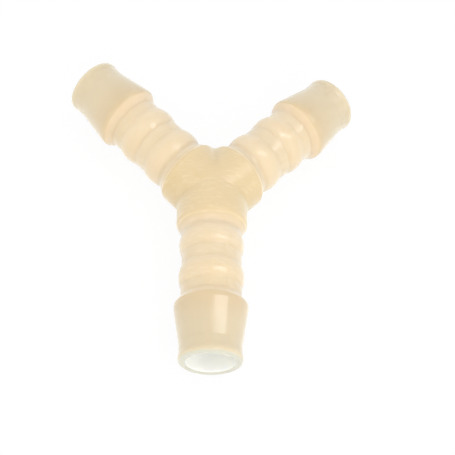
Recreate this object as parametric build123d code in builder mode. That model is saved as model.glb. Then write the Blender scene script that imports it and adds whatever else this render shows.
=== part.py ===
from build123d import *
import math
import os

# A Y connector for flexible tubing, moulded in one piece: three equal barbed legs on a plain
# round hub, with a straight bore through each leg. Lengths are in millimetres and angles in
# degrees.
#
# The origin is the centre of the stem's open end. From there the stem's axis runs along +Y to
# the hub's centre, where the axes of all three legs cross in the XY plane, and the two arms
# lean on towards +X and -X. A leg is described from the hub's centre outwards, by the lengths
# of its stretches along the axis and by their diameters.

# ---- the whole connector
arm_angle = 135.0               # from the stem to either arm, so the arms stand 90 degrees apart
bore_diameter = 13.0
bore_mouth_chamfer = 0.5
hub_blend_radius = 2.0          # rounding where two legs grow into each other

# ---- hub, and the plain root that the rings stand on
hub_diameter = 20.0
hub_edge_clearance = 0.0425     # plain cylinder between the arms' crotch and the rounded edge
hub_step_length = 2.6           # slope from the hub down to the root
hub_edge_radius = 1.2
root_diameter = 16.6

# ---- rounded rings, which seal against the tubing
ring_count = 2
ring_diameter = 18.0
ring_length = 6.3
first_ring_gap = 0.9            # plain root between the hub's step and the first ring
ring_gap = 3.7                  # plain root between two rings
last_ring_gap = 3.2             # plain root between the last ring and the end barb

# ---- end barb, which holds the tubing on
shoulder_diameter = 20.1
shoulder_step_length = 2.3      # steep back of the barb
shoulder_land_length = 1.2
cone_length = 10.1
nose_diameter = 16.8            # plain stretch that the cone narrows to
nose_length = 2.6
lip_diameter = 17.2             # slight bead around the open end
lip_step_length = 0.9
lip_length = 1.5
lip_edge_chamfer = 0.5

# ---- worked out from the sizes above
bore_radius = bore_diameter / 2
hub_radius = hub_diameter / 2
root_radius = root_diameter / 2
ring_radius = ring_diameter / 2
shoulder_radius = shoulder_diameter / 2
nose_radius = nose_diameter / 2
lip_radius = lip_diameter / 2
lip_face_radius = lip_radius - lip_edge_chamfer
mouth_radius = bore_radius + bore_mouth_chamfer
leg_angles = (0.0, arm_angle, -arm_angle)
crease_angles = (arm_angle / 2, -arm_angle / 2, 180.0)

# The arms' cylinders cross at the crotch, halfway between their axes. The hub's rounded edge
# starts just past it on every leg.
crotch_station = hub_radius / math.tan(math.radians(180 - arm_angle))
hub_edge_turn = math.atan2(hub_radius - root_radius, hub_step_length)
hub_edge_setback = hub_edge_radius * math.tan(hub_edge_turn / 2)
hub_length = crotch_station + hub_edge_clearance + hub_edge_setback

# ---- stations along a leg, measured from the hub's centre
root_start = hub_length + hub_step_length
first_ring = root_start + first_ring_gap + ring_length / 2
ring_pitch = ring_length + ring_gap
ring_stations = [first_ring + ring_pitch * number for number in range(ring_count)]
root_end = ring_stations[-1] + ring_length / 2 + last_ring_gap
shoulder_start = root_end + shoulder_step_length
shoulder_end = shoulder_start + shoulder_land_length
nose_start = shoulder_end + cone_length
nose_end = nose_start + nose_length
lip_start = nose_end + lip_step_length
leg_length = lip_start + lip_length
lip_end = leg_length - lip_edge_chamfer
mouth_start = leg_length - bore_mouth_chamfer
hub_centre = Vector(0, leg_length, 0)


def direction_at(angle):
    """Direction out of the hub's centre at an angle from the stem, turning towards +X."""
    return Vector(math.sin(math.radians(angle)), -math.cos(math.radians(angle)), 0)


# Corners of a leg's outline: station, and radius about the leg's axis.
corners = [
    (0, 0),
    (0, hub_radius),
    (hub_length, hub_radius),
    (root_start, root_radius),
    (root_end, root_radius),
    (shoulder_start, shoulder_radius),
    (shoulder_end, shoulder_radius),
    (nose_start, nose_radius),
    (nose_end, nose_radius),
    (lip_start, lip_radius),
    (lip_end, lip_radius),
    (leg_length, lip_face_radius),
    (leg_length, 0),
]

# One solid leg, with the hub's centre at the origin and its open end towards -Y. The outline is
# drawn below the axis and turned about it, so that the seam of the turned faces runs along the
# underside, clear of the crotches.
underside = Plane((0, 0, 0), x_dir=(0, 0, -1), z_dir=(1, 0, 0))
with BuildPart() as leg:
    with BuildSketch(underside) as outline:
        with BuildLine():
            Polyline([(radius, -station) for station, radius in corners], close=True)
        make_face()
        hub_edge = outline.vertices().sort_by_distance((hub_radius, -hub_length))[0]
        fillet(hub_edge, hub_edge_radius)
        for station in ring_stations:
            with BuildLine():
                crest = ThreePointArc(
                    (root_radius, -station + ring_length / 2),
                    (ring_radius, -station),
                    (root_radius, -station - ring_length / 2),
                )
                Line(crest @ 1, crest @ 0)
            make_face()
    revolve(axis=Axis.Y)

# The way through one leg, from the hub's centre out to its chamfered mouth.
with BuildPart() as bore:
    with BuildSketch(underside):
        with BuildLine():
            Polyline(
                (0, 0),
                (bore_radius, 0),
                (bore_radius, -mouth_start),
                (mouth_radius, -leg_length),
                (0, -leg_length),
                close=True,
            )
        make_face()
    revolve(axis=Axis.Y)

# The connector: the three legs grown together, blended where they meet, then bored. The bores
# meet in mitres at the hub's centre.
leg_places = [Location(hub_centre, (0, 0, angle)) for angle in leg_angles]
with BuildPart() as y_connector:
    with Locations(leg_places):
        add(leg.part)

    # Each crease where two legs meet lies in the upright plane halfway between them.
    creases = ShapeList()
    for angle in crease_angles:
        outwards = Axis(hub_centre, direction_at(angle))
        sideways = Axis(hub_centre, direction_at(angle + 90))
        on_plane = y_connector.edges().filter_by_position(sideways, -0.001, 0.001)
        creases += on_plane.filter_by_position(outwards, 0.001, leg_length)
    fillet(creases, hub_blend_radius)

    with Locations(leg_places):
        add(bore.part, mode=Mode.SUBTRACT)
y_connector.part.label = "y_connector"

os.makedirs("parts", exist_ok=True)
export_step(y_connector.part, "parts/y_connector.step")
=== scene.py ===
import math

import bpy
from mathutils import Matrix, Vector


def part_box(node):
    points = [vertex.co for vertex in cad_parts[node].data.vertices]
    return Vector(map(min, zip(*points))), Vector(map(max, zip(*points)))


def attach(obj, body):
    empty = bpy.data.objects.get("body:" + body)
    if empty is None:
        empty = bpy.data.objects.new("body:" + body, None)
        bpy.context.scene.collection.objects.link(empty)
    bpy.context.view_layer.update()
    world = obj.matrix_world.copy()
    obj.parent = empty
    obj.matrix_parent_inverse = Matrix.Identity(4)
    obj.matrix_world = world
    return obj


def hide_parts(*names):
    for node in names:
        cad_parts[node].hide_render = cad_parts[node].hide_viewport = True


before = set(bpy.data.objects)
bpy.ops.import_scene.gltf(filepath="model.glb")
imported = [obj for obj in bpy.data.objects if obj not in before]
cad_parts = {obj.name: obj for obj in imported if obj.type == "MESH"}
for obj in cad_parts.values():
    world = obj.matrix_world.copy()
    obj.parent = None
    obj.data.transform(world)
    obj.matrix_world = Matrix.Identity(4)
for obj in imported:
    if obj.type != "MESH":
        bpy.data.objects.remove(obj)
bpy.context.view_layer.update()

bl_info = {
    "name": "Tubing Y Connector",
    "version": (1, 0, 0),
    "blender": (4, 5, 0),
    "location": "3D View > Sidebar > Y Connector",
    "description": "A moulded nylon Y connector with barbed legs, and a plain studio for it",
    "category": "Add Mesh",
}

# The row's frame is in metres: the stem's open end is the origin and +Y runs up the stem to the
# hub. The two arms lean on towards +X and -X, and +Z is square to the plane of the legs.
#
# A leg is described by station and radius: the distance from the hub's centre along the leg's
# axis, and the distance from that axis.
NODE = "y_connector"
BODY = "root"
FLOOR_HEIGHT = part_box(NODE)[0].z

# How finely the mesh follows the form. Columns go around a quarter of a leg, rows along it.
COLUMNS = 45
CREASE_ROWS = 9
HUB_ROWS = 60
BORE_ROWS = 14
RING_STEPS = 14
ROUNDING_STEPS = 6
SUPPORT_DISTANCE = 0.0003   # from a rounding to the row that keeps the next stretch straight
ROUNDING_ROOM = 0.6         # share of a stretch that the rounding at either end may take up
WELD_DISTANCE = 2e-6
FEWEST_FACES = 1000         # with fewer, the tree has failed


# ----------------------------------------------------------------------------------- properties

def length(name, description, default):
    return bpy.props.FloatProperty(
        name=name, description=description, default=default, unit="LENGTH", precision=5
    )


def angle(name, description, degrees):
    return bpy.props.FloatProperty(
        name=name, description=description, default=math.radians(degrees), subtype="ANGLE"
    )


def colour(name, description, default):
    return bpy.props.FloatVectorProperty(
        name=name, description=description, default=default, subtype="COLOR", size=3, min=0, max=1
    )


def share(name, description, default):
    return bpy.props.FloatProperty(
        name=name, description=description, default=default, subtype="FACTOR", min=0, max=1
    )


def power(name, description, default):
    return bpy.props.FloatProperty(
        name=name, description=description, default=default, unit="POWER"
    )


class ConnectorSizes(bpy.types.PropertyGroup):
    """Sizes of one leg, from the hub's centre outwards, and how the legs meet"""

    arm_angle: angle("Arm angle", "From the stem to either arm", 135)
    bore: length("Bore", "Diameter of the way through", 0.0130)
    mouth_edge: length("Mouth edge", "Rounding of the bore's open edge", 0.0005)
    crease: length("Crease", "Rounding where two legs grow into each other", 0.0020)
    hub: length("Hub", "Diameter of the plain cylinder in the middle", 0.0200)
    hub_length: length("Hub length", "From the centre to the edge of the hub", 0.0104)
    hub_step: length("Hub step", "Length of the slope from the hub to the root", 0.0026)
    hub_edge: length("Hub edge", "Rounding of the hub's edge", 0.0012)
    root: length("Root", "Diameter between the rings", 0.0166)
    valley: length("Valley", "Rounding at the foot of a slope", 0.0008)
    ring: length("Ring", "Diameter over a ring", 0.0180)
    ring_length: length("Ring length", "Length of a ring along the leg", 0.0063)
    first_gap: length("First gap", "Plain root between the hub's step and the first ring", 0.0009)
    ring_gap: length("Ring gap", "Plain root between two rings", 0.0037)
    last_gap: length("Last gap", "Plain root between the last ring and the barb", 0.0032)
    rings: bpy.props.IntProperty(name="Rings", description="Rings on each leg", default=2, min=0)
    shoulder: length("Shoulder", "Diameter of the end barb", 0.0201)
    shoulder_step: length("Shoulder step", "Length of the barb's steep back", 0.0023)
    shoulder_land: length("Shoulder land", "Length of the barb's crest", 0.0012)
    shoulder_edge: length("Shoulder edge", "Rounding of the barb's crest", 0.0007)
    cone: length("Cone", "Length of the barb's taper", 0.0101)
    nose: length("Nose", "Diameter that the taper narrows to", 0.0168)
    nose_length: length("Nose length", "Plain stretch after the taper", 0.0026)
    lip: length("Lip", "Diameter of the bead around the open end", 0.0172)
    lip_step: length("Lip step", "Length of the slope up to the bead", 0.0009)
    lip_length: length("Lip length", "Length of the bead", 0.0015)
    lip_edge: length("Lip edge", "Rounding of the bead's outer edge", 0.0009)


class NylonFinish(bpy.types.PropertyGroup):
    """Look of the moulded nylon"""

    body: colour("Body", "Natural ivory of the ringed legs", (0.745, 0.61, 0.43))
    shade: colour("Hub", "Warmer ivory of the hub, where the wall is thick", (0.675, 0.535, 0.31))
    barb: colour("Barb", "Duller ivory of the end barbs", (0.645, 0.54, 0.365))
    # Painted shade: a browner band on the cone that fades from the barb's crest.
    barb_shade: colour("Barb shade", "Browner tone that fades from the barb's crest", (0.58, 0.43, 0.24))
    # Painted shade: dark lines at the hub's edge and at the slopes' feet.
    seam: colour("Seam", "Brown line along the foot of a slope", (0.60, 0.44, 0.24))
    # Painted highlight: pale glints along the mould marks. The marks themselves are real.
    glint_streak: colour("Glint streak", "Pale flow lines around the hub and the legs", (0.92, 0.82, 0.63))
    pale: colour("Pale", "Milky grey of a leg's open end", (0.53, 0.52, 0.44))
    # Painted light: a near-white bore that stands in for light through the thin translucent wall.
    inside: colour("Inside", "Pale milky tone of the bore", (0.975, 0.975, 0.885))
    gloss: share("Roughness", "Roughness of the moulded skin", 0.20)
    marks: share("Mould marks", "Strength of the fine marks around each leg", 0.5)
    mark_depth: length("Mark depth", "Depth of the fine marks at full strength", 0.00003)
    glow: share("Translucency", "Share of light that wanders through the wall", 1.0)
    glow_depth: length("Glow depth", "How far light wanders in the wall", 0.0035)
    sheen: share("Sheen", "Paler rim where the surface turns away", 0.60)


class StudioLook(bpy.types.PropertyGroup):
    """Floor, lamps and camera"""

    floor: colour("Floor", "Colour of the floor", (0.90, 0.90, 0.89))
    grain: colour("Grain", "Colour of the floor's faint grain", (0.84, 0.84, 0.83))
    fill: bpy.props.FloatProperty(
        name="Fill", description="Strength of the even light from all around", default=0.73
    )
    key: power("Key", "Power of the softbox overhead", 0.80)
    front: power("Front", "Power of the weak lamp before the stem", 1.5)
    side: power("Side", "Power of the weak lamp on the -X side", 0.52)
    lens: bpy.props.FloatProperty(
        name="Lens", description="Focal length in millimetres", default=69.37
    )
    distance: length("Distance", "From the camera to the point it turns about", 0.239751)
    azimuth: angle("Azimuth", "Turn of the camera to the -X side of the stem", 11.66376)
    elevation: angle("Elevation", "Height of the camera above the plane of the legs", 61.43763)
    roll: angle("Roll", "Turn of the camera about its own line of sight", 13.48307)


class Number:
    """A node's output socket with Python's arithmetic on it. Each operation adds a Math node."""

    def __init__(self, graph, socket):
        self.graph = graph
        self.socket = socket

    def math(self, operation, *others):
        values = dict(enumerate((self,) + others))
        return self.graph.node("ShaderNodeMath", {"operation": operation}, values)

    def swapped(self, operation, other):
        return self.graph.node("ShaderNodeMath", {"operation": operation}, {0: other, 1: self})

    def output(self, name):
        return Number(self.graph, self.socket.node.outputs[name])

    def __add__(self, other):
        return self.math("ADD", other)

    def __sub__(self, other):
        return self.math("SUBTRACT", other)

    def __rsub__(self, other):
        return self.swapped("SUBTRACT", other)

    def __mul__(self, other):
        return self.math("MULTIPLY", other)

    def __truediv__(self, other):
        return self.math("DIVIDE", other)

    def __rtruediv__(self, other):
        return self.swapped("DIVIDE", other)

    def __neg__(self):
        return self.math("MULTIPLY", -1.0)

    __radd__ = __add__
    __rmul__ = __mul__

    def squared(self):
        return self.math("MULTIPLY", self)

    def root(self):
        return self.math("SQRT")

    def unsigned(self):
        return self.math("ABSOLUTE")

    def sin(self):
        return self.math("SINE")

    def cos(self):
        return self.math("COSINE")

    def above(self, other):
        return self.math("MAXIMUM", other)

    def below(self, other):
        return self.math("MINIMUM", other)

    def smooth(self, start, end):
        """0 before start and 1 after end, with an eased ramp between."""
        inputs = {"Value": self, "From Min": start, "From Max": end}
        return self.graph.node("ShaderNodeMapRange", {"interpolation_type": "SMOOTHSTEP"}, inputs)


class Graph:
    """A node tree that is written as expressions."""

    def __init__(self, tree):
        self.tree = tree

    def node(self, kind, settings=None, inputs=None, output=0):
        """Makes a node and gives its output as a Number, or the node itself if it has none."""
        made = self.tree.nodes.new(kind)
        for name, value in (settings or {}).items():
            setattr(made, name, value)
        for name, value in (inputs or {}).items():
            socket = made.inputs[name]
            for item in value if isinstance(value, list) else [value]:
                if isinstance(item, Number):
                    self.tree.links.new(item.socket, socket)
                else:
                    socket.default_value = item
        return Number(self, made.outputs[output]) if made.outputs else made

    def vector(self, x, y, z):
        return self.node("ShaderNodeCombineXYZ", None, {"X": x, "Y": y, "Z": z})

    def axes(self, vector):
        """The three numbers of a vector."""
        parts = self.node("ShaderNodeSeparateXYZ", None, {"Vector": vector})
        return parts.output("X"), parts.output("Y"), parts.output("Z")

    def blend(self, mask, first, second):
        """A colour that goes from the first to the second where the mask goes from 0 to 1."""
        inputs = {0: mask}
        for socket, value in ((6, first), (7, second)):
            inputs[socket] = value if isinstance(value, Number) else (*value, 1.0)
        return self.node("ShaderNodeMix", {"data_type": "RGBA"}, inputs, 2)

    def noise(self, vector, scale, detail, roughness=0.5):
        inputs = {"Vector": vector, "Scale": scale, "Detail": detail, "Roughness": roughness}
        return self.node("ShaderNodeTexNoise", None, inputs)


# ---------------------------------------------------------------------------------- the outline

def joint_station(sizes):
    """Station on the hub's step where the hub's own wall hands over to the leg's outline."""
    down_the_step = 0.7
    return sizes.hub_length + down_the_step * sizes.hub_step


def ring_stations(sizes):
    """Stations where the rings start."""
    first = sizes.hub_length + sizes.hub_step + sizes.first_gap
    return [first + number * (sizes.ring_length + sizes.ring_gap) for number in range(sizes.rings)]


def barb_station(sizes):
    """Station where the end barb rises from the root."""
    rings = sizes.rings * sizes.ring_length + (sizes.rings - 1) * sizes.ring_gap
    return sizes.hub_length + sizes.hub_step + sizes.first_gap + rings + sizes.last_gap


def leg_length(sizes):
    """From the hub's centre to a leg's open end."""
    shoulder = sizes.shoulder_step + sizes.shoulder_land + sizes.cone
    tip = sizes.nose_length + sizes.lip_step + sizes.lip_length
    return barb_station(sizes) + shoulder + tip


def hub_slope(sizes):
    """How much radius the hub's step loses for each length along the leg."""
    return (sizes.hub - sizes.root) / 2 / sizes.hub_step


def ring_arc(sizes, start):
    """Corners of an outline over one ring, an arc that rises from the root."""
    rise = (sizes.ring - sizes.root) / 2
    arc_radius = (sizes.ring_length**2 / 4 + rise**2) / (2 * rise)
    corners = []
    for step in range(RING_STEPS + 1):
        across = sizes.ring_length * (step / RING_STEPS - 0.5)
        height = math.sqrt(arc_radius**2 - across**2) - (arc_radius - rise)
        corners.append((start + sizes.ring_length / 2 + across, sizes.root / 2 + height, 0))
    return corners


def rounded(corner, before, after, rounding):
    """Points of the arc that rounds one corner of an outline, from tangent to tangent."""
    inward = (corner - before).normalized()
    outward = (after - corner).normalized()
    turn = inward.angle_signed(outward)
    room = ROUNDING_ROOM * min((corner - before).length, (after - corner).length)
    tangent = min(abs(rounding * math.tan(turn / 2)), room)
    radius = tangent / math.tan(abs(turn) / 2)
    start = corner - inward * tangent
    side = Vector((inward.y, -inward.x)) * math.copysign(1, turn)
    points = []
    for step in range(ROUNDING_STEPS + 1):
        swept = abs(turn) * step / ROUNDING_STEPS
        forward, aside = math.sin(swept), 1 - math.cos(swept)
        points.append(start + inward * radius * forward + side * radius * aside)
    return points


def with_supports(points):
    """The outline again, with a point close to both ends of each long straight stretch."""
    held = [points[0]]
    for first, second in zip(points, points[1:]):
        along = second - first
        if along.length > 4 * SUPPORT_DISTANCE:
            held.append(first + along.normalized() * SUPPORT_DISTANCE)
            held.append(second - along.normalized() * SUPPORT_DISTANCE)
        held.append(second)
    return held


def leg_outline(sizes):
    """Outline of a leg from low on the hub's step, over the tip and into the bore, as points of
    station and radius."""
    # Each corner is a station, a radius and a rounding.
    foot = sizes.hub_length + sizes.hub_step
    start = joint_station(sizes)
    start_radius = sizes.root / 2 + hub_slope(sizes) * (foot - start)
    corners = [(start, start_radius, 0), (foot, sizes.root / 2, sizes.valley)]
    for ring_start in ring_stations(sizes):
        corners += ring_arc(sizes, ring_start)

    # The barb, the nose and the lip: how far on each corner is, at which diameter, and how round.
    into_bore = 4 * sizes.mouth_edge
    station = barb_station(sizes)
    for onward, diameter, rounding in (
        (0, sizes.root, sizes.valley),
        (sizes.shoulder_step, sizes.shoulder, sizes.shoulder_edge),
        (sizes.shoulder_land, sizes.shoulder, sizes.shoulder_edge),
        (sizes.cone, sizes.nose, sizes.valley),
        (sizes.nose_length, sizes.nose, sizes.valley),
        (sizes.lip_step, sizes.lip, sizes.valley),
        (sizes.lip_length, sizes.lip, sizes.lip_edge),
        (0, sizes.bore, sizes.mouth_edge),
        (-into_bore, sizes.bore, 0),
    ):
        station += onward
        corners.append((station, diameter / 2, rounding))

    places = [Vector(corner[:2]) for corner in corners]
    roundings = [corner[2] for corner in corners]
    points = []
    for index, place in enumerate(places):
        if roundings[index]:
            points += rounded(place, places[index - 1], places[index + 1], roundings[index])
        else:
            points.append(place)
    return with_supports(points)


# --------------------------------------------------------------------- the tree that makes the Y

TREE_INPUTS = (
    ("Leg Length", "NodeSocketFloat"),
    ("Arm Angle", "NodeSocketFloat"),
    ("Hub Radius", "NodeSocketFloat"),
    ("Hub Length", "NodeSocketFloat"),
    ("Hub Slope", "NodeSocketFloat"),
    ("Hub Edge", "NodeSocketFloat"),
    ("Joint Station", "NodeSocketFloat"),
    ("Crease", "NodeSocketFloat"),
    ("Bore Radius", "NodeSocketFloat"),
    ("Columns", "NodeSocketInt"),
    ("Material", "NodeSocketMaterial"),
)


class YTree(Graph):
    """Turns the outline of one leg into a whole Y. Two kinds of wall are made, each a quarter of
    the way around a leg: one beside the stem, which the stem and an arm share, and one between
    the arms. They make the connector's upper right, which is mirrored below and across."""

    def __init__(self):
        tree = bpy.data.node_groups.new("barbed_y", "GeometryNodeTree")
        super().__init__(tree)
        tree.interface.new_socket("Geometry", in_out="INPUT", socket_type="NodeSocketGeometry")
        for name, kind in TREE_INPUTS:
            tree.interface.new_socket(name, in_out="INPUT", socket_type=kind)
        tree.interface.new_socket("Geometry", in_out="OUTPUT", socket_type="NodeSocketGeometry")
        self.given = self.node("NodeGroupInput")
        self.columns = self.given.output("Columns")
        self.build()

    def grid(self, rows):
        """A unit grid of rows along the leg and columns around it."""
        inputs = {"Size X": 1.0, "Size Y": 1.0, "Vertices X": rows, "Vertices Y": self.columns}
        return self.node("GeometryNodeMeshGrid", None, inputs, "Mesh")

    def placed(self, mesh, x, y, z):
        inputs = {"Geometry": mesh, "Position": self.vector(x, y, z)}
        return self.node("GeometryNodeSetPosition", None, inputs)

    def joined(self, *parts):
        return self.node("GeometryNodeJoinGeometry", None, {"Geometry": list(parts)})

    def turned(self, mesh, about_z):
        euler = self.vector(0.0, 0.0, about_z)
        rotation = self.node("FunctionNodeEulerToRotation", None, {"Euler": euler})
        return self.node("GeometryNodeTransform", None, {"Geometry": mesh, "Rotation": rotation})

    def mirrored(self, mesh, scale):
        turned_over = self.node("GeometryNodeTransform", None, {"Geometry": mesh, "Scale": scale})
        return self.node("GeometryNodeFlipFaces", None, {"Mesh": turned_over})

    def sampled(self, outline, position, index):
        """One point of the outline, as its station and its radius."""
        settings = {"data_type": "FLOAT_VECTOR", "domain": "POINT"}
        inputs = {"Geometry": outline, "Value": position, "Index": index}
        point = self.node("GeometryNodeSampleIndex", settings, inputs)
        return self.axes(point)[:2]

    def quarter(self, half_angle):
        """The wall of a leg from the mitre at half_angle up to the leg's top line, with the leg
        along X and the mitre's neighbour towards Y."""
        given = self.given
        hub_radius = given.output("Hub Radius")
        edge = given.output("Hub Edge")
        slope = given.output("Hub Slope")
        crease = given.output("Crease")
        joint = given.output("Joint Station")
        bore = given.output("Bore Radius")

        # On the unit grid, along goes from 0 to 1, and around from the mitre's side to the top.
        position = self.node("GeometryNodeInputPosition")
        grid_x, grid_y, _ = self.axes(position)
        along = grid_x + 0.5
        around = (0.5 - grid_y) * (math.pi / 2)
        side, up = around.cos(), around.sin()
        lean = half_angle.math("TANGENT")

        # Where a ball of the crease's radius, held in the mitre plane, touches the hub: on its
        # cylinder, on its rounded edge or on the slope after it, by the tilt of the wall there.
        turn = slope.math("ARCTANGENT")
        edge_start = given.output("Hub Length") - edge * (turn / 2).math("TANGENT")
        edge_centre = hub_radius - edge
        reach = edge + crease
        swing = lean.math("ARCTAN2", side)
        size = reach * (side.squared() + lean.squared()).root()
        level = (edge_start * lean - edge_centre * side) / size
        tilt = level.below(1.0).above(-1.0).math("ARCCOSINE") - swing
        tilt = tilt.above(0.0).below(turn)
        rise, run = tilt.sin(), tilt.cos()
        from_station = edge_start + reach * rise
        from_radius = edge_centre + reach * run
        slide = (from_radius * side - from_station * lean) / (run * lean + rise * side)
        ball_station = from_station + slide * run
        ball_radius = from_radius - slide * rise
        touch = ball_station - crease * rise

        # The crease: from the mitre plane round the ball to where it touches.
        plane_x, plane_y = -half_angle.sin(), half_angle.cos()
        from_x, from_y, from_z = -rise, -(run * side), -(run * up)
        off = from_x * plane_x + from_y * plane_y
        to_x, to_y, to_z = from_x - off * plane_x, from_y - off * plane_y, from_z
        long = (to_x.squared() + to_y.squared() + to_z.squared()).root()
        share_to = (1.0 - along) / long
        dir_x = from_x * along + to_x * share_to
        dir_y = from_y * along + to_y * share_to
        dir_z = from_z * along + to_z * share_to
        scale = crease / (dir_x.squared() + dir_y.squared() + dir_z.squared()).root()
        crease_wall = self.placed(
            self.grid(CREASE_ROWS),
            ball_station + dir_x * scale,
            ball_radius * side + dir_y * scale,
            ball_radius * up + dir_z * scale,
        )

        # The hub: its cylinder, rounded edge and slope, from there to the outline's start.
        station = touch + (joint - touch) * along
        edge_end = edge_start + edge * turn.sin()
        across = (station - edge_start).above(0.0).below(edge_end - edge_start)
        dropped = (edge.squared() - across.squared()).root() - edge
        radius = hub_radius + dropped - slope * (station - edge_end).above(0.0)
        hub_wall = self.placed(self.grid(HUB_ROWS), station, radius * side, radius * up)

        # The leg's outline, swept round.
        outline = given.output("Geometry")
        inputs = {"Geometry": outline}
        counted = self.node("GeometryNodeAttributeDomainSize", {"component": "CURVE"}, inputs)
        rows = counted.output("Point Count")
        row = (along * (rows - 1.0)).math("ROUND")
        leg_station, leg_radius = self.sampled(outline, position, row)
        leg_wall = self.placed(self.grid(rows), leg_station, leg_radius * side, leg_radius * up)

        # The bore, from the outline's end back to the mitre.
        mouth, _ = self.sampled(outline, position, rows - 1.0)
        mitre = bore * side / lean
        depth = mouth + (mitre - mouth) * along
        bore_wall = self.placed(self.grid(BORE_ROWS), depth, bore * side, bore * up)
        return self.joined(crease_wall, hub_wall, leg_wall, bore_wall)

    def build(self):
        given = self.given
        arm = given.output("Arm Angle")
        beside_stem = self.quarter(arm / 2)
        between_arms = self.quarter(math.pi - arm)
        quarter_turn = math.pi / 2
        upper_right = self.joined(
            self.turned(beside_stem, -quarter_turn),
            self.turned(self.mirrored(beside_stem, (1.0, -1.0, 1.0)), arm - quarter_turn),
            self.turned(between_arms, arm - quarter_turn),
        )
        right = self.joined(upper_right, self.mirrored(upper_right, (1.0, 1.0, -1.0)))
        whole = self.joined(right, self.mirrored(right, (-1.0, 1.0, 1.0)))

        offset = self.vector(0.0, given.output("Leg Length"), 0.0)
        inputs = {"Geometry": whole, "Translation": offset}
        moved = self.node("GeometryNodeTransform", None, inputs)
        solid = self.node("GeometryNodeRealizeInstances", None, {"Geometry": moved})
        inputs = {"Geometry": solid, "Distance": WELD_DISTANCE}
        welded = self.node("GeometryNodeMergeByDistance", None, inputs)
        inputs = {"Geometry": welded, "Shade Smooth": True}
        smooth = self.node("GeometryNodeSetShadeSmooth", None, inputs)
        inputs = {"Geometry": smooth, "Material": given.output("Material")}
        painted = self.node("GeometryNodeSetMaterial", None, inputs)
        self.node("NodeGroupOutput", None, {"Geometry": painted})


def outline_curve(name, points):
    """A polyline through points of station and radius."""
    data = bpy.data.curves.new(name, "CURVE")
    data.dimensions = "3D"
    spline = data.splines.new("POLY")
    spline.points.add(len(points) - 1)
    for point, place in zip(spline.points, points):
        point.co = (place.x, place.y, 0.0, 1.0)
    holder = bpy.data.objects.new(name, data)
    bpy.context.scene.collection.objects.link(holder)
    return holder


def set_inputs(modifier, values):
    """Gives a Geometry Nodes modifier its inputs by socket identifier."""
    for item in modifier.node_group.interface.items_tree:
        if item.in_out == "INPUT" and item.name in values:
            modifier[item.identifier] = values[item.name]


def as_mesh(holder, name):
    """The evaluated shape of a holder as a plain mesh object. The holder is removed."""
    depsgraph = bpy.context.evaluated_depsgraph_get()
    data = bpy.data.meshes.new_from_object(holder.evaluated_get(depsgraph), depsgraph=depsgraph)
    data.name = name
    piece = bpy.data.objects.new(name, data)
    bpy.context.scene.collection.objects.link(piece)
    bpy.data.objects.remove(holder)
    return piece


# ------------------------------------------------------------------------------------ materials

WHITE = (1.0, 1.0, 1.0, 1.0)

# Scales of the nylon's patterns, in waves to a metre. A pair is along the leg and around it.
CLOUD_SCALE = 55.0
SKIN_SCALE = 1400.0
LINE_SCALES = (1800.0, 400.0)
BAND_SCALES = (420.0, 15.0)

# Where the tones meet, in metres. The bore's near-white tone, which is painted light, fades out
# between two distances from the bore's wall, and the tip's fades in between two distances before
# the leg's end.
INSIDE_RAMP = (0.00001, 0.00014)
TIP_RAMP = (0.0009, 0.0002)
HUB_RAMP_START = 0.0004     # before the hub's edge
STEM_RAMP = 0.003           # from the hub's centre down the stem

# How dark the painted shade line is at the hub's edge, at a ring's two ends, and at the barb's
# foot and crest.
HUB_LINE_SHADE = 0.30
RING_LINE_SHADES = (0.12, 0.05)
BARB_LINE_SHADES = (0.08, 0.10)
LINE_SHADE_REACH = 0.0007         # how far a line fades to either side

# How much of the hub's warm tone there is: everywhere, on the hub, in clouds and in bands.
WARM_ALL = 0.12
WARM_HUB = 0.7
WARM_CLOUDS = 0.8
WARM_BANDS = 0.35

# How strong each further tone is, and where it shows.
MOTTLE = 1.2                # the body's tone on the barb
MOTTLE_FROM = 0.45          # value of the cloud noise from which it shows
# Painted shade: how strongly the band after the barb's crest darkens the cone.
BARB_SHADE = 0.35
BARB_SHADE_REACH = 0.8           # how far it fades, as a share of the cone's length
# Painted highlight: pale glints along the real mould lines, where the line noise is high.
GLINT_RANGE = (0.48, 0.72)     # values of the line noise between which a streak comes up
GLINT_STREAKS = 0.05              # on the whole connector but the barbs
MORE_GLINT_STREAKS = 0.11         # on top of that, on the stem and the hub
THIN = 0.25                 # the tip's tone at the end of the cone and the nose

# What the skin, the lines, the bore and the hub add to the roughness.
ROUGH_SKIN = 0.03
ROUGH_LINES = 0.04
ROUGH_INSIDE = 0.2
ROUGH_HUB = 0.12

# Heights of the lines, the bands and the skin, as shares of the marks' depth.
LINE_HEIGHT = 0.6
BAND_HEIGHT = 0.5
SKIN_HEIGHT = 0.25

NYLON_IOR = 1.53
GLOW_COLOURS = (1.0, 0.95, 0.85)
SHEEN_ROUGHNESS = 0.45
SHEEN_TINT = (1.0, 0.98, 0.90, 1.0)


def line_shade_stations(sizes):
    """Stations of the hub's edge and of each slope's foot, each with how dark its painted shade
    line is.
    """
    line_shades = [(sizes.hub_length, HUB_LINE_SHADE)]
    for start in ring_stations(sizes):
        line_shades += [(start, RING_LINE_SHADES[0]), (start + sizes.ring_length, RING_LINE_SHADES[1])]
    foot = barb_station(sizes)
    return line_shades + [(foot, BARB_LINE_SHADES[0]), (foot + sizes.shoulder_step, BARB_LINE_SHADES[1])]


def empty_tree(holder):
    """The node tree of a new material or world, with its first nodes taken out."""
    holder.use_nodes = True
    holder.node_tree.nodes.clear()
    return holder.node_tree


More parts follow.
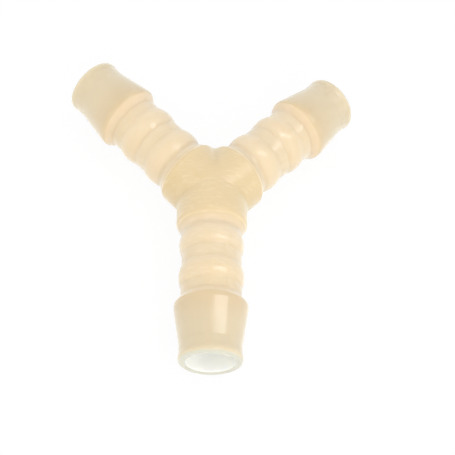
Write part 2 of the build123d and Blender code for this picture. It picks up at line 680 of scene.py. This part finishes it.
class NylonTree(Graph):
    """Natural nylon: milky ivory, warmer on the hub, duller on the barbs, greyer at the open ends,
    with fine mould marks around each leg. Painted on it are pale glints along the marks on the hub
    and the stem (painted highlight), a near-white bore for light through the thin wall (painted
    light), and dark lines at the hub's edge and each slope's foot with a browner band after the
    barb's crest (painted shade). Masks are 1 where their name holds."""

    def __init__(self, tree, sizes, finish):
        super().__init__(tree)
        self.sizes = sizes
        self.finish = finish
        self.find_place()
        self.find_marks()
        self.shade_all()

    def find_place(self):
        """The place from the hub's centre, the station on the nearest leg, and what is there."""
        sizes = self.sizes
        self.here = self.node("ShaderNodeTexCoord", None, None, "Object")
        self.x, from_mouth, self.z = self.axes(self.here)
        self.y = from_mouth - leg_length(sizes)
        lean_x, lean_y = math.sin(sizes.arm_angle), -math.cos(sizes.arm_angle)
        self.station = (self.x.unsigned() * lean_x + self.y * lean_y).above(-self.y)
        from_centre = self.x.squared() + self.y.squared() + self.z.squared()
        radius = (from_centre - self.station.squared()).above(0.0).root()

        bore = sizes.bore / 2
        edge = sizes.hub_length
        crest = barb_station(sizes) + sizes.shoulder_step
        end = leg_length(sizes)
        # Mask of the bore. Its near-white tone is painted light, and the bore is also rougher.
        self.within = 1.0 - radius.smooth(bore + INSIDE_RAMP[0], bore + INSIDE_RAMP[1])
        self.hub = 1.0 - self.station.smooth(edge - HUB_RAMP_START, edge + sizes.hub_step)
        self.stem = (-self.y).smooth(0.0, STEM_RAMP)
        self.barb = self.station.smooth(crest - sizes.shoulder_step / 4, crest)
        # Where the painted shade after the barb's crest fades out along the cone.
        self.crest = 1.0 - self.station.smooth(crest, crest + BARB_SHADE_REACH * sizes.cone)
        self.thin = self.station.smooth(crest, end)
        self.tip = self.station.smooth(end - TIP_RAMP[0], end - TIP_RAMP[1])

    def around_leg(self, along, scales, detail):
        """Noise that changes at one scale along a leg and at another around it."""
        stretched = self.vector(along * scales[0], self.x * scales[1], self.z * scales[1])
        return self.noise(stretched, 1.0, detail)

    def find_marks(self):
        """Clouds in the wall, the mould's orange-peel skin, its fine lines and broader bands."""
        self.cloud = self.noise(self.here, CLOUD_SCALE, 3.0, 0.55)
        self.skin = self.noise(self.here, SKIN_SCALE, 2.0)
        self.bands = self.around_leg(self.station, BAND_SCALES, 1.0)
        # The lines go around each leg, and straight across the hub.
        on_leg = self.around_leg(self.station, LINE_SCALES, 2.0)
        on_hub = self.around_leg(self.y, LINE_SCALES, 2.0)
        self.lines = on_leg + (on_hub - on_leg) * self.hub

    def line_shades(self):
        """Painted shade: soft dark lines at the hub's edge and at each slope's foot."""
        line_shades = 0.0
        for seam, strength in line_shade_stations(self.sizes):
            near = 1.0 - (self.station - seam).unsigned().smooth(0.0, LINE_SHADE_REACH)
            line_shades = (near * strength).above(line_shades)
        return line_shades * (1.0 - self.within)

    def tone(self):
        finish = self.finish
        uneven = (self.cloud - 0.5) * WARM_CLOUDS + (self.bands - 0.5) * WARM_BANDS
        warm = (self.hub * WARM_HUB + uneven + WARM_ALL).above(0.0).below(1.0)
        mottle = (self.cloud - MOTTLE_FROM).above(0.0) * self.barb * MOTTLE
        # Painted shade: a browner band on the cone just after the barb's crest.
        barb_shade = self.crest * self.barb * BARB_SHADE
        # Painted highlight: pale glints along the mould lines, stronger on the stem and the hub.
        often = self.stem.above(self.hub) * MORE_GLINT_STREAKS + GLINT_STREAKS
        glint_streaks = self.lines.smooth(*GLINT_RANGE) * (1.0 - self.barb) * often
        tone = self.blend(warm, finish.body, finish.shade)
        tone = self.blend(self.barb, tone, finish.barb)
        tone = self.blend(mottle, tone, finish.body)
        tone = self.blend(barb_shade, tone, finish.barb_shade)
        # Painted shade: dark lines at the hub's edge and at each slope's foot.
        tone = self.blend(self.line_shades(), tone, finish.seam)
        tone = self.blend(glint_streaks, tone, finish.glint_streak)
        tone = self.blend(self.tip.above(self.thin * THIN), tone, finish.pale)
        # Painted light: the bore turns near-white, for light through the thin wall.
        return self.blend(self.within, tone, finish.inside)

    def roughness(self):
        uneven = (self.skin - 0.5) * ROUGH_SKIN + (self.lines - 0.5) * ROUGH_LINES
        return self.finish.gloss + uneven + self.within * ROUGH_INSIDE + self.hub * ROUGH_HUB

    def relief(self):
        finish = self.finish
        height = self.lines * LINE_HEIGHT + self.bands * BAND_HEIGHT + self.skin * SKIN_HEIGHT
        inputs = {"Height": height, "Strength": finish.marks, "Distance": finish.mark_depth}
        return self.node("ShaderNodeBump", None, inputs, "Normal")

    def shade_all(self):
        inputs = {
            "Base Color": self.tone(),
            "Roughness": self.roughness(),
            "Normal": self.relief(),
            "IOR": NYLON_IOR,
            "Subsurface Weight": self.finish.glow,
            "Subsurface Radius": GLOW_COLOURS,
            "Subsurface Scale": self.finish.glow_depth,
            "Sheen Weight": self.finish.sheen,
            "Sheen Roughness": SHEEN_ROUGHNESS,
            "Sheen Tint": SHEEN_TINT,
        }
        settings = {"subsurface_method": "RANDOM_WALK"}
        shader = self.node("ShaderNodeBsdfPrincipled", settings, inputs)
        self.node("ShaderNodeOutputMaterial", None, {"Surface": shader})


def nylon(sizes, finish):
    made = bpy.data.materials.new("natural_nylon")
    NylonTree(empty_tree(made), sizes, finish)
    return made


def seen_directly(graph):
    """1 for what the camera, a reflection or a clear material sees, and 0 for light that falls
    on the object."""
    path = graph.node("ShaderNodeLightPath", None, None, "Is Camera Ray")
    seen = path + path.output("Is Glossy Ray") + path.output("Is Transmission Ray")
    return seen.below(1.0)


def pale_floor(look):
    """A floor that is white to the camera and in reflections, and keeps the object's shadow."""
    grain_scale, grain_share = 40.0, 0.08
    whiteness = 0.94    # the rest shows the shadow
    made = bpy.data.materials.new("pale_floor")
    graph = Graph(empty_tree(made))
    here = graph.node("ShaderNodeTexCoord", None, None, "Object")
    grain = (graph.noise(here, grain_scale, 4.0) - 0.5) * grain_share + grain_share / 2
    paper = graph.blend(grain, look.floor, look.grain)
    matte = graph.node("ShaderNodeBsdfDiffuse", None, {"Color": paper})
    white = graph.node("ShaderNodeEmission", None, {"Color": WHITE, "Strength": 1.0})
    inputs = {0: seen_directly(graph) * whiteness, 1: matte, 2: white}
    mixed = graph.node("ShaderNodeMixShader", None, inputs)
    graph.node("ShaderNodeOutputMaterial", None, {"Surface": mixed})
    return made


def studio_world(look):
    """Even light from all around, which looks white."""
    world = bpy.data.worlds.new("studio")
    graph = Graph(empty_tree(world))
    strength = look.fill + seen_directly(graph) * (1.0 - look.fill)
    air = graph.node("ShaderNodeBackground", None, {"Color": WHITE, "Strength": strength})
    graph.node("ShaderNodeOutputWorld", None, {"Surface": air})
    return world


# ------------------------------------------------------------------------------------ operators

class FITTING_OT_connector(bpy.types.Operator):
    """Make the moulded Y connector from its leg's outline"""

    bl_idname = "fitting.connector"
    bl_label = "Y connector"

    def execute(self, context):
        sizes = context.scene.connector_sizes
        holder = outline_curve("leg_outline", leg_outline(sizes))
        modifier = holder.modifiers.new("barbed_y", "NODES")
        modifier.node_group = YTree().tree
        set_inputs(
            modifier,
            {
                "Leg Length": leg_length(sizes),
                "Arm Angle": sizes.arm_angle,
                "Hub Radius": sizes.hub / 2,
                "Hub Length": sizes.hub_length,
                "Hub Slope": hub_slope(sizes),
                "Hub Edge": sizes.hub_edge,
                "Joint Station": joint_station(sizes),
                "Crease": sizes.crease,
                "Bore Radius": sizes.bore / 2,
                "Columns": COLUMNS,
                "Material": nylon(sizes, context.scene.nylon_finish),
            },
        )
        piece = as_mesh(holder, "moulded_y")
        if len(piece.data.polygons) < FEWEST_FACES:
            raise RuntimeError("the tree made no connector")
        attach(piece, BODY)
        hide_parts(NODE)
        return {"FINISHED"}


# Where the studio's things stand, in metres. The camera turns about a point near the stem, given
# from the hub's centre.
FLOOR_SIZE = 3.0
FLOOR_CENTRE_Y = 0.05
FLOOR_GAP = 0.00005     # keeps the floor clear of the lowest points that rest on it
KEY_SIZE = (0.47, 0.115)
KEY_PLACE = (0.265, 0.113, 0.50)
KEY_AIM = (0.265, 0.113, 0.0)
WEAK_SIZE = (0.40, 0.25)
FRONT_PLACE = (0.07, -0.40, 0.34)
FRONT_AIM = (0.0, 0.0, 0.0)
SIDE_PLACE = (-0.42, 0.25, 0.16)
SIDE_AIM = (0.0, 0.05, 0.0)
CAMERA_PIVOT = (0.002579, -0.026384, 0.0)
CAMERA_SENSOR = 36.0
CAMERA_SHIFT = (0.0148, 0.1088)
CAMERA_CLIP_START = 0.01


class FITTING_OT_stage(bpy.types.Operator):
    """Lay the pale floor, hang the lamps and set up the camera"""

    bl_idname = "fitting.stage"
    bl_label = "Stage"

    def execute(self, context):
        look = context.scene.studio_look
        scene = context.scene
        scene.view_settings.view_transform = "Standard"
        scene.world = studio_world(look)
        height = FLOOR_HEIGHT - FLOOR_GAP
        bpy.ops.mesh.primitive_plane_add(size=FLOOR_SIZE, location=(0, FLOOR_CENTRE_Y, height))
        floor = context.active_object
        floor.name = "floor"
        floor.data.materials.append(pale_floor(look))
        # The softbox overhead draws a bright strip along each crest. The two weak ones reach into
        # the stem's open end and lift the -X side, and don't show in the gloss.
        self.lamp("key", look.key, KEY_SIZE, KEY_PLACE, KEY_AIM)
        self.lamp("front", look.front, WEAK_SIZE, FRONT_PLACE, FRONT_AIM, False)
        self.lamp("side", look.side, WEAK_SIZE, SIDE_PLACE, SIDE_AIM, False)
        self.camera(scene, look)
        return {"FINISHED"}

    def lamp(self, name, energy, size, place, aim, glossy=True):
        """A rectangular softbox of a width and a depth, turned to shine at a point."""
        data = bpy.data.lights.new(name, "AREA")
        data.energy = energy
        data.shape = "RECTANGLE"
        data.size, data.size_y = size
        lamp = bpy.data.objects.new(name, data)
        lamp.location = place
        lamp.rotation_euler = (Vector(place) - Vector(aim)).to_track_quat("Z", "Y").to_euler()
        lamp.visible_glossy = glossy
        bpy.context.scene.collection.objects.link(lamp)

    def camera(self, scene, look):
        """A camera that looks down at the connector, rolled to stand its stem nearly upright."""
        data = bpy.data.cameras.new("camera")
        data.sensor_width = CAMERA_SENSOR
        data.lens = look.lens
        data.shift_x, data.shift_y = CAMERA_SHIFT
        data.clip_start = CAMERA_CLIP_START
        camera = bpy.data.objects.new("camera", data)
        scene.collection.objects.link(camera)
        hub_centre = Vector((0.0, leg_length(scene.connector_sizes), 0.0))
        camera.matrix_world = (
            Matrix.Translation(hub_centre + Vector(CAMERA_PIVOT))
            @ Matrix.Rotation(-look.azimuth, 4, "Z")
            @ Matrix.Rotation(math.pi / 2 - look.elevation, 4, "X")
            @ Matrix.Rotation(look.roll, 4, "Z")
            @ Matrix.Translation((0.0, 0.0, look.distance))
        )
        scene.camera = camera


class FITTING_PT_panel(bpy.types.Panel):
    """Sizes, finish and steps of the Y connector"""

    bl_idname = "FITTING_PT_panel"
    bl_label = "Y Connector"
    bl_space_type = "VIEW_3D"
    bl_region_type = "UI"
    bl_category = "Y Connector"

    def draw(self, context):
        layout = self.layout
        scene = context.scene
        for group in (scene.connector_sizes, scene.nylon_finish, scene.studio_look):
            box = layout.box()
            for name in group.__annotations__:
                box.prop(group, name)
        layout.operator(FITTING_OT_connector.bl_idname)
        layout.operator(FITTING_OT_stage.bl_idname)


CLASSES = (
    ConnectorSizes,
    NylonFinish,
    StudioLook,
    FITTING_OT_connector,
    FITTING_OT_stage,
    FITTING_PT_panel,
)


def register():
    for kind in CLASSES:
        bpy.utils.register_class(kind)
    bpy.types.Scene.connector_sizes = bpy.props.PointerProperty(type=ConnectorSizes)
    bpy.types.Scene.nylon_finish = bpy.props.PointerProperty(type=NylonFinish)
    bpy.types.Scene.studio_look = bpy.props.PointerProperty(type=StudioLook)


def unregister():
    del bpy.types.Scene.studio_look
    del bpy.types.Scene.nylon_finish
    del bpy.types.Scene.connector_sizes
    for kind in reversed(CLASSES):
        bpy.utils.unregister_class(kind)


def main():
    register()
    bpy.ops.fitting.connector()
    bpy.ops.fitting.stage()


if __name__ == "__main__":
    main()
